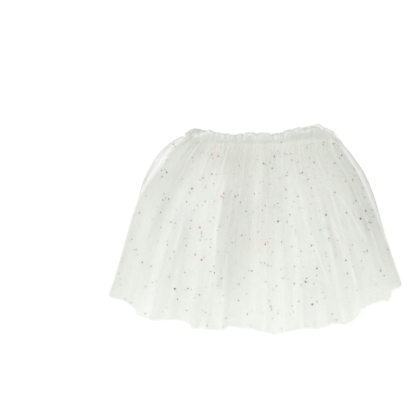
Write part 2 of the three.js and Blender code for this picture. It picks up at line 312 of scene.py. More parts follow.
print("columns of the outer net:", len(columns_of(OUTER)["s"]))

# %% [markdown]
# Net shades itself. Where it bunches up, more threads lie over each other and those further down get
# less light, so a tight gather looks grey, while a fold that stands up close to the light looks white.
# So each crease is three things: a soft ridge in the surface, a change in how much of it is thread, and
# painted light on those threads, a highlight on some creases and shade on others. The plain ones are
# placed each from one point to another, and a second table gives the two edges of the broad grey band
# left of the middle.

# %% Creases and the broad band, placed one by one
# the light column is painted light on the threads: a painted highlight where it is above 0, painted shade
# where it is below
CREASES = table(
    "x1 y1 x2 y2 ridge width threads light",
    (120, 59, 173, -26, 0.9, 2.0, 0.22, 0.05),
    (173, -26, 197, -69, 0.8, 2.4, 0.20, 0.05),
    (62, 70, 86, -15, 0.9, 2.4, 0.20, 0.05),
    (86, -15, 120, -104, 1.0, 2.0, 0.30, 0.08),
    (115, 21, 155, -98, 0.8, 3.6, 0.16, 0.05),
    (148, 62, 196, -20, 0.7, 2.2, 0.06, -0.08),
    (96, 70, 124, -60, 0.6, 5.0, 0.04, -0.05),
    (8, 118, 7, -60, 0.6, 6.5, 0.08, 0.05),
    (-1, 70, -2, -140, 0.7, 5.5, 0.10, 0.07),
    (12, -30, 14, -160, 0.3, 22.0, -0.012, 0.03),
    (-118, 50, -168, -130, 0.0, 40.0, 0.012, -0.04),
    (128, 60, 172, -120, 0.0, 30.0, 0.012, -0.03),
    (-59, 100, -74, -112, 0.9, 9.0, -0.04, 0.05),
    (-51, 90, -66, -90, 0.7, 4.0, 0.08, 0.04),
    (-110, 16, -137, -82, 0.9, 3.6, 0.20, 0.05),
    (-98, 40, -120, -40, 0.7, 4.0, 0.03, -0.04),
    (-84, -48, -92, -110, 0.8, 2.6, 0.20, 0.05),
    (-124, 96, -152, 14, 0.5, 5.0, 0.04, -0.04),
    (-96, 118, -128, 60, 0.5, 9.0, 0.05, -0.04),
    (56, -60, 62, -150, 0.7, 5.0, 0.14, 0.06),
    (32, 96, 44, -90, 0.5, 4.0, 0.03, -0.04),
    (-25, 60, -34, -120, 0.5, 2.2, 0.03, -0.05),
    (-17, 120, -10, -40, 0.5, 2.2, 0.05, -0.08),
    (-10, 112, -6, -36, 0.3, 2.2, 0.07, -0.09),
    (-36, 66, -55, -104, 0.3, 5.0, 0.09, -0.08),
    (-36, 124, -41, 60, 0.5, 2.4, 0.04, -0.06),
    (132, 118, 172, 48, 0.4, 14.0, 0.08, -0.05),
    (160, 44, 196, -60, 0.4, 14.0, 0.05, -0.04),
    (70, 118, 88, 50, 0.4, 8.0, 0.03, -0.03),
)
BAND = table(
    "y left right threads",
    (-105, -61, -5, 0.0),
    (-67, -55.6, -6, 0.06),
    (-26, -51, -7, 0.08),
    (38, -41, -10, 0.09),
    (123, -38, -14.5, 0.07),
)
BAND_EDGE, BAND_MOST = 3.0, 0.12
BAND_LIGHT = -0.4  # painted shade on the band's threads, for each extra share of them; below 0, so they are painted darker
BROAD = 3.0  # a crease this wide or wider, in mm, goes through all three front layers
CREASE_BOW, CREASE_WAVE, CREASE_FADE = 1.5, 23.0, 18.0  # mm: its bow, its wave and its fading end


def beside_line(x, y, ax, ay, bx, by):
    """How far along a line from a to b each point lies, how far beside it, and the line's length."""
    length = np.hypot(bx - ax, by - ay)
    down = ((x - ax) * (bx - ax) + (y - ay) * (by - ay)) / length
    aside = ((x - ax) * (by - ay) - (y - ay) * (bx - ax)) / length
    return down, aside, length


def near_crease(x, y, i):
    """How much of crease i a point has: a bell of its width across, fading to nothing at its two ends.
    Slow waves bow the crease to both sides of its straight line."""
    down, aside, length = beside_line(x, y, *(CREASES[name][i] for name in ("x1", "y1", "x2", "y2")))
    bow = aside + CREASE_BOW * np.sin(down / CREASE_WAVE + i)
    ends = ease(down / CREASE_FADE) * ease((length - down) / CREASE_FADE)
    return np.exp(-((bow / CREASES["width"][i]) ** 2)) * ends


def creases_of(panel):
    """Numbers of a panel's creases: outer nets have them all, and broad ones go through the front."""
    every = range(len(CREASES["x1"]))
    return [i for i in every if is_outer(panel) or (panel["front"] and CREASES["width"][i] >= BROAD)]


def in_band(x, y):
    """The band's extra threads: its table's value between its two edges, easing to nothing at each."""
    left, right = curve(BAND, "y", "left", y), curve(BAND, "y", "right", y)
    threads = np.clip(curve(BAND, "y", "threads", y), 0, BAND_MOST)
    return threads * ease((x - left) / BAND_EDGE + 0.5) * ease((right - x) / BAND_EDGE + 0.5)


print("creases in each panel:", [len(creases_of(panel)) for panel in PANELS.values()])

# %% [markdown]
# The hem is raw. It was cut in bites of the scissors, and where one ends and the next starts the edge
# jumps a few millimetres. The jumps that show most have their own places, and small ones lie between.

# %% The cut hem
CUT_STEPS = table(
    "x step",
    (-183.5, 5.5),
    (-150, -2.0),
    (-116.5, -3.0),
    (-98, 5.0),
    (-86, -2.5),
    (-44, -4.5),
    (-22, 2.5),
    (26, 4.5),
    (70, -2.0),
    (88, 2.5),
    (113, -5.0),
    (131, 2.5),
    (161, -5.0),
    (185, 2.0),
    (198, 5.0),
    (207, -9.0),
    (213, 2.0),
)
STEP_FADE = 9.0  # mm past a step over which the hem comes back
SMALL_STEPS, SMALL_STEP, FIRST_STEP_X = 48, 1.1, -228  # how many, how large and where the first lies


def snips(x):
    """What the scissors leave: at each step the cut hem jumps longer or shorter, and the next bite
    brings it back, so a step fades past it. Small random steps lie between those in the table."""
    draw = np.random.default_rng(116)
    small_x = np.cumsum(draw.uniform(5, 14, SMALL_STEPS)) + FIRST_STEP_X
    places = np.append(CUT_STEPS["x"], small_x)
    steps = np.append(CUT_STEPS["step"], draw.normal(0, SMALL_STEP, SMALL_STEPS))
    past = x[..., None] - places
    return (steps * np.exp(-np.maximum(past, 0) / STEP_FADE) * (past > 0)).sum(axis=-1)


def cut_to(panel, place, share):
    """The share of the way down at which each point lies once the hem is cut. The hem's table, small
    waves and the scissors' steps make the cloth longer or shorter, more and more towards the hem."""
    across = across_of(panel, place, share)
    waves = np.sin(9 * across + panel["shorter"]) + np.sin(23 * across + panel["shorter"])
    hem_x, _ = plan(across[-1:], share[-1:])
    extra = curve(HEM, "across", "extra", across) - panel["shorter"] + waves * panel["rag"] / 2
    extra = extra + snips(hem_x) * share**8
    return share + extra / NET_LENGTH * share**3


print("snips at the middle of the hem, mm:", snips(np.array([-10.0, 0.0, 10.0])).round(1))

# %% [markdown]
# Net looks denser along its edges. At a side the front and back panels meet in a seam, and the cut hem
# curls a little. At the shoulders the outer net stands clear of the layers inside it. Light comes
# through it there, and a few fine lines show that follow the outline, while the seams of the inside
# layers bunch up beside it. Along the sides, the hem, those lines and the bunched seams the threads
# also get painted shade.

# %% What shows along the edges
# each line gets more thread, and painted shade by its light column
SHOULDER_LINES = table(
    "at wide threads light",
    (0.2, 0.7, 0.55, -0.40),
    (2.7, 0.6, 0.40, -0.35),
    (5.4, 0.6, 0.35, -0.30),
)
SIDE_THREADS, SIDE_LIGHT, SIDE_FADE = 0.12, -0.10, 4.0  # at a side, with painted shade; each fade is in mm
HEM_THREADS, HEM_LIGHT, HEM_FADE = 0.11, -0.05, 3.5  # at the cut hem, with painted shade
SEAM_THREADS, SEAM_LIGHT, SEAM_FADE = 0.17, -0.12, 14.0  # where the inside layers bunch up, with painted shade
SEAM_AWAY = 0.45  # how much of that is left away from the shoulders
PUFF_THREADS, PUFF_FADE = 0.25, 15.0  # in the puffed outer net, near the casing
LIP_LIGHT, LIP_FADE = 0.03, 2.5  # painted light on the nets just below the casing's lower edge, lifting the shade in the corner there
STANDS_OFF = 4.0  # puff, in mm, where the outer net is well clear of the layers inside it
LINED_EDGE = 2.0  # mm over which its creases fade past the edge of those layers


def shoulder_lines(inside, puff):
    """Extra threads and painted shade in lines that follow the outline, where the outer net stands off: each
    is a bell around its own distance in from the side, and shows only where the net stands off by more."""
    at, wide = SHOULDER_LINES["at"], SHOULDER_LINES["wide"]
    inside, puff = inside[..., None], puff[..., None]
    bells = np.exp(-(((inside - at) / wide) ** 2)) * ease((puff - at) / STANDS_OFF)
    return [(SHOULDER_LINES[name] * bells).sum(axis=-1) for name in ("threads", "light")]


def edge_marks(panel, inside, puff, down):
    """Extra threads, and painted shade, near a panel's edges, falling off evenly with the distance in from
    its side or its hem. At the shoulder the inside layers bunch more, and the outer net has its lines, and
    more thread near the casing."""
    off = ease(puff / STANDS_OFF)
    hem = np.exp(-(NET_LENGTH - down) / HEM_FADE)
    side = np.exp(-inside / SIDE_FADE) * (1 - off)
    threads = HEM_THREADS * hem + SIDE_THREADS * side
    if is_outer(panel):
        line_threads, line_light = shoulder_lines(inside, puff)
        threads = threads + line_threads + PUFF_THREADS * off * np.exp(-down / PUFF_FADE)
        return threads, HEM_LIGHT * hem + SIDE_LIGHT * side + line_light
    # the bunched seams get more thread and painted shade
    bunched = mix(SEAM_AWAY, 1, off) * np.exp(-inside / SEAM_FADE)
    return threads + SEAM_THREADS * bunched, HEM_LIGHT * hem + SEAM_LIGHT * bunched


print("lines at the shoulders:", len(SHOULDER_LINES["at"]))

# %% [markdown]
# Now a panel's surface can be put together, as one sum from large to small: the layer's lowest cloth,
# the gathers that die out below the casing, the large folds that grow to the hem, uneven ripples and the
# creases. Each also leaves its mark in the threads, and the ripples and creases also in painted light and
# shade on them. The rows are closer together near the casing, where the gathers are, and two more lie
# close to the hem. Three more at the top are tucked into the casing.

# %% The surface of a panel
ROW_CROWDING = 1.15  # the power that brings the rows together at the casing
HEM_ROWS = (2.0, 0.8)  # mm up from the hem
LOWEST_AT = 0.8  # share of the way down where a layer is as low as at its hem
GATHERS_END, FOLDS_START, FOLDS_GROW = 0.42, 0.04, 0.7  # shares of the way down
UNEVEN_PLACE, UNEVEN_DEPTH = 0.12, 0.35
RIPPLES, SOFT_WAVES = (28, 41, 63), (6, 9)
RIPPLES_START, SOFT_START, SOFT_SIZE = 0.06, 0.3, 0.8
OUTER_LIFT, OTHER_LIFT = 0.55, 0.25
# ripples' crests get more thread and a little painted light, their troughs less thread and painted shade
RIPPLE_THREADS, RIPPLE_LIGHT = 0.009, 0.015
NET_WALL, SEAM_GAP = 1.1, 0.4  # the solids' wall, and their gap between front and back
TUCK_STEP, TUCK_ROWS, TUCK_DEPTH, TUCK_THREADS = 2.0, 3, 0.6, 0.12


def lowest(panel, share):
    """Height of a panel's lowest cloth, easing from its value at the waist to its value at the hem."""
    return mix(panel["waist"], panel["hem"], ease(share / LOWEST_AT))


def folded(panel, place, across, share):
    """Height of the cloth with its gathers and large folds. A gather is a cosine of uneven depth, a few
    to a fold. A front fold is one cosine, moved aside by its lean, and a back one is a narrow hump."""
    phase = 2 * np.pi * place["t"]
    t = place["t"] + place["lean"] * 0.5 * np.sin(phase) / (2 * np.pi)
    if panel["front"]:
        ridge = 0.5 - 0.5 * np.cos(2 * np.pi * t)
    else:
        ridge = np.where(np.abs(t - 0.5) < 0.25, 0.5 + 0.5 * np.cos(4 * np.pi * (t - 0.5)), 0)
    seed = panel["seed"]
    turns = t * panel["per_fold"] + UNEVEN_PLACE * uneven(across, (5, 9), seed)
    gathers = 0.5 - 0.5 * np.cos(2 * np.pi * turns)
    depth = panel["gather"] * (1 + UNEVEN_DEPTH * uneven(across, (7, 13), seed + 1))
    top = lowest(panel, share) + depth * gathers * (1 - ease(share / GATHERS_END))
    return top + panel["depth"] * place["height"] * ridge * ease((share - FOLDS_START) / FOLDS_GROW)


def rippled(panel, place, across, share):
    """Fine ripples down the cloth, which drift a little sideways, and the lift that they and slower
    waves give it. The lift is deepest on the outer front net, and nothing moves at the casing."""
    drift = 0.012 * np.sin(5 * share + 3 * across) + 0.006 * np.sin(13 * share - 7 * across)
    ripple = uneven(place["s"] / 2, RIPPLES, panel["seed"] + 2, drift)
    soft = uneven(across + 0.3 * share, SOFT_WAVES, panel["seed"] + 3, 0.04 * np.sin(7 * share))
    size = OUTER_LIFT if panel is OUTER else OTHER_LIFT
    lift = ripple * ease(share / RIPPLES_START) + SOFT_SIZE * soft * ease(share / SOFT_START)
    return ripple, size * lift


def tucked_in(panel, points, threads, light):
    """The panel with more rows at its top, each a step further up into the casing and nearer to its
    middle. They hide in the casing, so they have less thread and don't darken it."""
    up = np.arange(TUCK_ROWS, 0, -1)[:, None]
    tucked = np.repeat(points[:1], TUCK_ROWS, axis=0)
    tucked[..., 1] += TUCK_STEP * up
    inner = panel["waist"] + (-TUCK_DEPTH if panel["front"] else TUCK_DEPTH)
    tucked[..., 2] = mix(tucked[..., 2], inner, up / TUCK_ROWS)
    more = lambda values, less: np.concatenate([np.repeat(values[:1] - less, TUCK_ROWS, axis=0), values])
    return np.concatenate([tucked, points]), more(threads, TUCK_THREADS), more(light, 0)


def panel_points(panel):
    """The panel's middle surface as rows from casing to hem of columns from left to right, in
    millimetres, with the extra share of thread at each point and the painted light and shade of its
    threads there."""
    place = columns_of(panel)
    rows = np.linspace(0, 1, panel["rows"]) ** ROW_CROWDING
    rows = np.sort(np.append(rows, 1 - np.array(HEM_ROWS) / NET_LENGTH))
    even = np.repeat(rows[:, None], len(place["s"]), axis=1)
    place = {name: np.broadcast_to(value, even.shape) for name, value in place.items()}
    share = cut_to(panel, place, even)
    across = across_of(panel, place, share)
    x, y = plan(across, share)
    top = folded(panel, place, across, share)
    ripple, lift = rippled(panel, place, across, share)

    inside = side_gap(panel, place, across, share)
    _, _, puff = side_end(across, share)
    threads, light = edge_marks(panel, inside, puff, NET_LENGTH * even)
    # painted light just below the casing's lower edge
    lip_painted_light = LIP_LIGHT * np.exp(-NET_LENGTH * share / LIP_FADE)
    # ripples get painted light on their crests and painted shade in their troughs
    threads, light = threads + RIPPLE_THREADS * ripple, 1 + light + RIPPLE_LIGHT * ripple + lip_painted_light
    if panel["front"]:
        # the band gets more thread and painted shade on its threads
        band = in_band(x, y)
        threads, light = threads + band, light + BAND_LIGHT * band
    alone = ease(puff / STANDS_OFF) * (1 - ease((inside - puff) / LINED_EDGE + 1)) * is_outer(panel)
    # each crease: a ridge on the outer nets, more or less thread, and painted light by its light column, a
    # highlight above 0 and shade below
    for i in creases_of(panel):
        near = near_crease(x if panel["front"] else -x, y, i) * (1 - alone)
        lift = lift + CREASES["ridge"][i] * near * is_outer(panel)
        threads, light = threads + CREASES["threads"][i] * near, light + CREASES["light"][i] * near

    rounded = np.sin(place["angle"])
    if panel["front"]:
        seam_top = lowest(PANELS[panel["partner"]], share) + NET_WALL + SEAM_GAP
        z = mix(seam_top, top + lift, rounded)
    else:
        z = top + NET_WALL / 2 + np.maximum(0, lift) * rounded
    return tucked_in(panel, np.stack([x, y, z], axis=-1), threads, light)


outer_points, _, _ = panel_points(OUTER)
print("outer front net:", outer_points.shape, "up to", outer_points[..., 2].max().round(1), "mm high")

# %% [markdown]
# A grid of points becomes a mesh of quads. The mesh gets all its points and faces at once, and then what
# its material reads: a map of the flat cloth, and numbers or colours stored on each point.

# %% From a grid of points to a mesh
def grid_faces(rows, columns):
    """Four corners of each quad of a grid, wound so that the faces point up."""
    index = np.arange(rows * columns).reshape(rows, columns)
    quads = np.stack([index[:-1, :-1], index[1:, :-1], index[1:, 1:], index[:-1, 1:]], axis=-1)
    return quads.reshape(-1, 4).tolist()


def mesh_from(name, points, faces, uv=None, values=None, colours=None):
    """A smooth mesh object from points in millimetres and faces, with what its material reads."""
    mesh = bpy.data.meshes.new(name)
    mesh.from_pydata((np.asarray(points).reshape(-1, 3) * MM).tolist(), [], faces)
    mesh.polygons.foreach_set("use_smooth", np.ones(len(mesh.polygons), bool))
    if uv is not None:
        corner = np.empty(len(mesh.loops), int)
        mesh.loops.foreach_get("vertex_index", corner)
        layer = mesh.uv_layers.new(name="cloth")
        layer.data.foreach_set("uv", np.asarray(uv).reshape(-1, 2)[corner].ravel().astype(np.float32))
    for key, value in (values or {}).items():
        mesh.attributes.new(key, "FLOAT", "POINT").data.foreach_set("value", np.ravel(value).astype("f4"))
    for key, value in (colours or {}).items():
        rgba = np.concatenate([value, np.ones((len(value), 1))], axis=1).astype(np.float32)
        mesh.attributes.new(key, "FLOAT_COLOR", "POINT").data.foreach_set("color", rgba.ravel())
    mesh.update()
    piece = bpy.data.objects.new(name, mesh)
    bpy.context.scene.collection.objects.link(piece)
    return piece


print("a grid of 3 by 4 points has", len(grid_faces(3, 4)), "quads")

# %% [markdown]
# The UV map of a panel is the cloth before it was sewn, in metres, so the net's holes follow the cloth.
# Where a wide strip is gathered into a narrow one, the extra cloth sits in folds too small to model.
# Each fold is one more layer of holes to see through, so the share of thread grows with the gathering,
# and that share is stored on each point for the material.

# %% A panel as flat cloth
FLAT_WIDTHS = {"outer": 0.50, "middle": 0.48, "inner": 0.46}
FLAT_LENGTH = 0.290


def cloth_map(points, width, length):
    """UV of a panel in metres of flat cloth. Across, it follows the cloth's length along the hem, scaled
    to the cut width, and down it follows the share of the cut length. The second result is how many
    times as much cloth as the surface shows is gathered into each place."""
    hem = np.linalg.norm(np.diff(points[-1], axis=0), axis=-1)
    reach = np.concatenate([[0], np.cumsum(hem)])
    u = width * reach / reach[-1]
    down = np.linalg.norm(np.diff(points, axis=0), axis=-1).mean(axis=1)
    v = length * np.concatenate([[0], np.cumsum(down)]) / down.sum()
    flat = np.gradient(u)[None, :] / MM
    shown = np.linalg.norm(np.gradient(points, axis=1), axis=-1)
    return np.stack(np.meshgrid(u, v), axis=-1), flat / np.maximum(shown, 1e-3)


_, gathered = cloth_map(outer_points, FLAT_WIDTHS["outer"], FLAT_LENGTH)
print("times as much cloth as shows, at casing and hem:", gathered[[3, -1]].mean(axis=1).round(2))

# %% [markdown]
# Shader maths reads best as plain expressions. This small class wraps one socket, and sums and products
# of it add the Math nodes that work them out. Every other node comes from one method.

# %% Shader expressions
class Wire:
    """One output in a material's tree, or a start for making nodes when it has no socket."""

    def __init__(self, tree, socket=None):
        self.tree, self.socket = tree, socket

    def make(self, kind, settings=None, inputs=None, output=0):
        """A node of this type with these settings, its sockets set to values or linked to wires."""
        node = self.tree.nodes.new(kind)
        for name, value in (settings or {}).items():
            setattr(node, name, value)
        for name, value in (inputs or {}).items():
            if isinstance(value, Wire):
                self.tree.links.new(value.socket, node.inputs[name])
            else:
                node.inputs[name].default_value = value
        return Wire(self.tree, node.outputs[output])

    def into(self, shader, name):
        """Feeds this wire into a socket of the shader."""
        self.tree.links.new(self.socket, shader.inputs[name])

    def math(self, operation, *values):
        """A Math node on these values, each a number or a wire."""
        return self.make("ShaderNodeMath", {"operation": operation}, dict(enumerate(values)))

    def cosine(self):
        """The cosine of the wire, in radians."""
        return self.math("COSINE", self)

    def between(self, low, high):
        """Rises smoothly from 0 to 1 as the wire goes from low to high."""
        return self.make(
            "ShaderNodeMapRange",
            {"interpolation_type": "SMOOTHSTEP"},
            {"Value": self, "From Min": low, "From Max": high},
        )

    def __add__(self, other):
        return self.math("ADD", self, other)

    def __sub__(self, other):
        return self.math("SUBTRACT", self, other)

    def __rsub__(self, other):
        return self.math("SUBTRACT", other, self)

    def __mul__(self, other):
        return self.math("MULTIPLY", self, other)

    __radd__ = __add__
    __rmul__ = __mul__


def new_material(name, roughness, sheen=0.0):
    """A material with its Principled shader and a wire to start from."""
    material = bpy.data.materials.new(name)
    material.use_nodes = True
    shader = material.node_tree.nodes["Principled BSDF"]
    shader.inputs["Roughness"].default_value = roughness
    shader.inputs["Sheen Weight"].default_value = sheen
    shader.inputs["Sheen Roughness"].default_value = 0.4
    shader.inputs["Specular IOR Level"].default_value = 0.3
    return material, shader, Wire(material.node_tree)


print("a wire adds, takes away and multiplies, and makes any other node by its type")

# %% [markdown]
# Net is mostly holes. Three cosines at 60 degrees to each other add up to a pattern whose valleys form a
# honeycomb, and the points below a threshold are thread. Raising the threshold thickens the threads, and
# for thin threads it goes up in step with the share of the surface that they cover. A smooth piece of
# soft net is only a tenth thread, so six layers still let the floor through, as the real skirt does.

# %% The net material
NET_PITCH = 0.0012
SIN_60 = 0.8660254
THRESHOLD_STEP, THRESHOLD_START = 1.69, -1.423  # its rise for each share of thread, and where it starts
HOLE_EDGE = 0.06  # how soft the edge of a hole is
NET_COLOUR = (0.873, 0.883, 0.845)
# painted shade where a streak adds thread, and painted light where it takes thread away
STREAK_SHADE = 0.16
STREAKS = table("across down detail weight", (120, 5, 3, 0.7), (34, 2.5, 2, 0.9))  # to a metre of cloth


def honeycomb(u, v):
    """The sum of three cosines whose waves run at 60 degrees to each other, a hole's pitch long."""
    turn = 2 * np.pi / NET_PITCH
    slanted = v * (turn * SIN_60)
    half = u * (turn / 2)
    return (u * turn).cosine() + (half + slanted).cosine() + (half - slanted).cosine()


def streaks_in(start, uv):
    """Streaks that run down the cloth, about 0 on average: noise stretched along it, fine and broad."""
    streaks = []
    for across, down, detail, weight in zip(*STREAKS.values()):
        stretched = start.make("ShaderNodeMapping", {}, {"Vector": uv, "Scale": (across, down, 1)})
        inputs = {"Vector": stretched, "Scale": 1.0, "Detail": detail}
        streaks.append((start.make("ShaderNodeTexNoise", {}, inputs) - 0.5) * weight)
    return streaks[0] + streaks[1]


def net_material(name, colour, streaks):
    """Honeycomb net as see-through holes. The share of thread comes from the mesh, and streaks down the
    cloth raise and lower it. The threads' colour is scaled by each point's painted light and shade, and
    by painted shade along the streaks."""
    material, shader, start = new_material(name, roughness=0.75, sheen=0.1)
    uv = start.make("ShaderNodeUVMap", {"uv_map": "cloth"})
    u, v = (start.make("ShaderNodeSeparateXYZ", {}, {"Vector": uv}, output) for output in (0, 1))
    streak = streaks_in(start, uv)
    share = start.make("ShaderNodeAttribute", {"attribute_name": "threads"}, {}, 2)
    light = start.make("ShaderNodeAttribute", {"attribute_name": "light"}, {}, 2)
    threshold = (share + streak * streaks) * THRESHOLD_STEP + THRESHOLD_START
    holes = (honeycomb(u, v) - threshold).between(-HOLE_EDGE, HOLE_EDGE)
    (1 - holes).into(shader, "Alpha")
    # the colour is scaled by each point's painted light and shade, and darkened by painted shade where a
    # streak adds thread
    scale = {"Vector": colour, "Scale": light - streak * STREAK_SHADE}
    start.make("ShaderNodeVectorMath", {"operation": "SCALE"}, scale).into(shader, "Base Color")
    return material


NETS = {
    "outer": net_material("outer net", NET_COLOUR, 0.07),
    "middle": net_material("middle net", NET_COLOUR, 0.06),
    "inner": net_material("inner net", NET_COLOUR, 0.05),
}
print("net materials", list(NETS))

# %% [markdown]
# Each panel is one thin shell. A Solidify modifier gives it the thickness of net and closes it round the
# edge. Where the cloth is gathered, the share that stays open is multiplied by itself for each more
# layer, and the rest is thread.

# %% Make the six panels
NET_THICKNESS = 0.00025
THREAD_SHARE = 0.075
THREADS_RANGE, LIGHT_RANGE = (0.03, 0.6), (0.4, 1.09)
grids = {}
for name, panel in PANELS.items():
    layer = name.split("_")[0]
    points, extra, light = panel_points(panel)
    uv, gathered = cloth_map(points, FLAT_WIDTHS[layer], FLAT_LENGTH)
    threads = np.clip(1 - (1 - THREAD_SHARE) ** gathered + extra, *THREADS_RANGE)
    # each point stores its share of thread and its painted light and shade
    values = {"threads": threads, "light": np.clip(light, *LIGHT_RANGE)}
    sheet = mesh_from(name + "_net", points, grid_faces(*points.shape[:2]), uv, values)
    sheet.data.materials.append(NETS[layer])
    shell = sheet.modifiers.new("thickness", "SOLIDIFY")
    shell.thickness = NET_THICKNESS
    shell.offset = 0
    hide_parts(name)
    layer + "_net"
    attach(sheet, "root")
    grids[name] = points
    print(name, points.shape, "threads", threads.min().round(2), "to", threads.max().round(2))

# %% [markdown]
# The casing is net too, folded over the elastic, which bunches it into puffs along the top. Each puff
# has a start, an end and a height of its own, and the back half's puffs show behind the front's where
# they are higher. The front half arches up a little in the middle, and both slope down to the left.

# %% The casing's puffs
FRONT_PUFFS = table(
    "start end top",
    (-104, -74, 150.5),
    (-74, -63, 150),
    (-63, -46, 145.6),
    (-46, -38, 144.9),
    (-38, -29, 142.4),
    (-29, -19, 144.6),
    (-19, 1, 146.6),
    (1, 25, 145.9),
    (25, 40, 145),
    (40, 53, 149.6),
    (53, 73, 153.4),
    (73, 86, 155.4),
    (86, 104, 158.8),
    (104, 124, 149.5),
)
BACK_PUFFS = table(
    "start end top",
    (-104, -76, 153.2),
    (-76, -58, 147),
    (-58, -35, 143.5),
    (-35, -8, 143),
    (-8, 18, 144.5),
    (18, 42, 143.5),
    (42, 62, 150),
    (62, 84, 152.5),
    (84, 100, 156),
    (100, 124, 147.5),
)
# rim_light is painted shade along the top rim, deeper on the back half, which lies lower, in the front
# half's shade
CASINGS = {
    "waistband_front": dict(puffs=FRONT_PUFFS, under=7.0, gape=1.6, face=13.9, left_slope=30, left_drop=6.5,
                            rim_light=-0.22, seed=31),
    "waistband_back": dict(puffs=BACK_PUFFS, under=0.0, gape=0.0, face=6.4, left_slope=20, left_drop=7.7,
                           rim_light=-0.38, seed=32),
}
print("puffs in front and at the back:", [len(casing["puffs"]["top"]) for casing in CASINGS.values()])

# %% [markdown]
# The creases in the casing that show most have a table too: bright ones with a painted highlight, where
# the net is pulled tight over the elastic, and dark ones with painted shade, in the dips beside them.

# %% Creases in the casing, placed one by one
CASING_CREASES = table(
    "x1 y1 x2 y2 width threads light",
    (-104, 140.5, -78, 152.0, 4.0, 0.15, -0.12),
    (-94, 139.5, -70, 147.5, 1.6, 0.30, 0.22),
    (-88, 143.5, -72, 151.0, 1.0, 0.15, -0.22),
    (-78, 139.6, -66, 144.6, 0.9, 0.10, -0.16),
    (-72, 140.6, -64, 146.6, 1.2, 0.30, 0.16),
    (-17.5, 133.5, -17.5, 144.5, 1.5, 0.25, 0.10),
    (-12.5, 135.0, -9.5, 141.5, 2.4, 0.10, -0.12),
    (26.5, 134.0, 27.5, 142.5, 1.3, 0.12, -0.12),
    (30.5, 134.5, 31.0, 142.0, 1.4, 0.25, 0.09),
    (43, 142.0, 56, 149.0, 1.2, 0.30, 0.14),
    (52, 137.0, 60, 141.5, 2.2, 0.10, -0.12),
    (60, 147.5, 73, 147.0, 1.3, 0.30, 0.14),
    (76, 147.0, 86, 151.5, 1.2, 0.30, 0.14),
    (91, 140.0, 95, 150.0, 2.0, 0.10, -0.12),
)
CREASE_END = 3.0  # mm over which a crease in the casing fades at its ends


def casing_marks(x, y):
    """Extra threads of the casing's own creases, and their painted light: a highlight on the bright ones
    and shade on the dark ones, each a bell about a straight line.
    """
    threads, light = 0, 0
    for ax, ay, bx, by, width, more, lighter in zip(*CASING_CREASES.values()):
        down, aside, length = beside_line(x, y, ax, ay, bx, by)
        ends = ease(down / CREASE_END + 0.5) * ease((length - down) / CREASE_END + 0.5)
        near = np.exp(-((aside / width) ** 2)) * ends
        threads, light = threads + more * near, light + lighter * near
    return threads, light


print(len(CASING_CREASES["x1"]), "creases in the casing")

# %% [markdown]
# The casing is a closed section carried from end to end: a rounded box whose height follows the puffs,
# with the gathers pushed out of its face. At its two ends it drops and closes to a rounded tip.

# %% The casing's section
SQUARENESS = 0.62
END_DROP, END_ROUND, SLIMMEST = 8.0, 5.0, 0.12  # mm over which an end drops and rounds, and its share
DIP_SHARE, DIP_MOST = 0.14, 3.0  # how far the crest dips between puffs, by their width and at most
RIGHT_DROP, FACE_DROP, FACE_DIP = 4.5, 1.5, 0.9  # mm: crest and face at an end, and face between puffs


def quarter(distance, reach):
    """Rises from 0 to 1 over a reach as a quarter of a circle does, and stays 1 past it."""
    return np.sqrt(1 - (1 - np.minimum(1, distance / reach)) ** 2)


def rounded_box(angle):
    """A rounded box from -1 to 1 both ways: the angle's cosine and sine, each to a power below 1."""
    squared = lambda wave: np.sign(wave) * np.abs(wave) ** SQUARENESS
    return squared(np.cos(angle)), squared(np.sin(angle))


def puffs_along(puffs, x):
    """How far through its puff each place lies, the puff's width, and a curve through the tops."""
    i = np.clip(np.searchsorted(puffs["end"], x), 0, len(puffs["end"]) - 1)
    width = puffs["end"][i] - puffs["start"][i]
    middles = {"x": (puffs["start"] + puffs["end"]) / 2, "top": puffs["top"]}
    return np.clip((x - puffs["start"][i]) / width, 0, 1), width, curve(middles, "x", "top", x)


def section_along(casing, x, width, bulge, tops):
    """The section's crest, underside and face along the casing, and how narrow it is at each place. The
    crest dips between puffs, drops at its right end and slopes at its left."""
    from_end = np.minimum(x - CASING_LEFT, CASING_RIGHT - x)
    from_left = np.minimum(1, (x - CASING_LEFT) / casing["left_slope"])
    drop = 1 - quarter(from_end, END_DROP)
    crest = tops - np.minimum(DIP_MOST, DIP_SHARE * width) * (1 - bulge) - RIGHT_DROP * drop * (x > 0)
    crest = crest - casing["left_drop"] * (1 - from_left) ** 1.6
    arch = np.sin(np.pi * (x - CASING_LEFT) / (CASING_RIGHT - CASING_LEFT)) ** 2
    under = casing["under"] + casing["gape"] * arch
    face = casing["face"] - FACE_DIP * (2 - bulge) - FACE_DROP * drop
    return crest, under, face, np.maximum(SLIMMEST, quarter(from_end, END_ROUND))


print("a rounded box at 45 degrees:", np.round(rounded_box(np.pi / 4), 2))

# %% [markdown]
# Net this bunched is about half thread, less where it stretches over a puff and more in the dips between
# them. The rim along the top is denser still, because the net folds over there, and darker with painted
# shade. The dips and the gathers get painted shade too, and the low part by the sewn edge painted light,
# which lifts the shade in the corner with the nets.

# %% The casing's surface
CASING_RUN = 228.0  # millimetres of casing to one unit of its uneven waves
SLANT, CLOSE_DEPTH, LOOSE_DEPTH = 0.014, 0.3, 0.45
DIP_WIDE = 1.3  # mm that a dip's painted shade and extra thread reach to each side
LEAST_SEWN, LOW_WALL_THREADS = 0.25, 0.15  # shares of thread left at the sewn edge and on the low wall
CASING_THREADS = dict(plain=0.47, close=0.06, loose=0.06, dip=0.12, rim=0.3)
# painted light and shade on the casing's threads: a little shade along the gathers, more in the dips, and
# painted light by the sewn edge
CASING_LIGHT = dict(plain=0.97, close=-0.04, loose=-0.05, dip=-0.12, sewn=0.08)
CASING_THREADS_RANGE, CASING_LIGHT_RANGE = (0.03, 0.85), (0.4, 1.17)


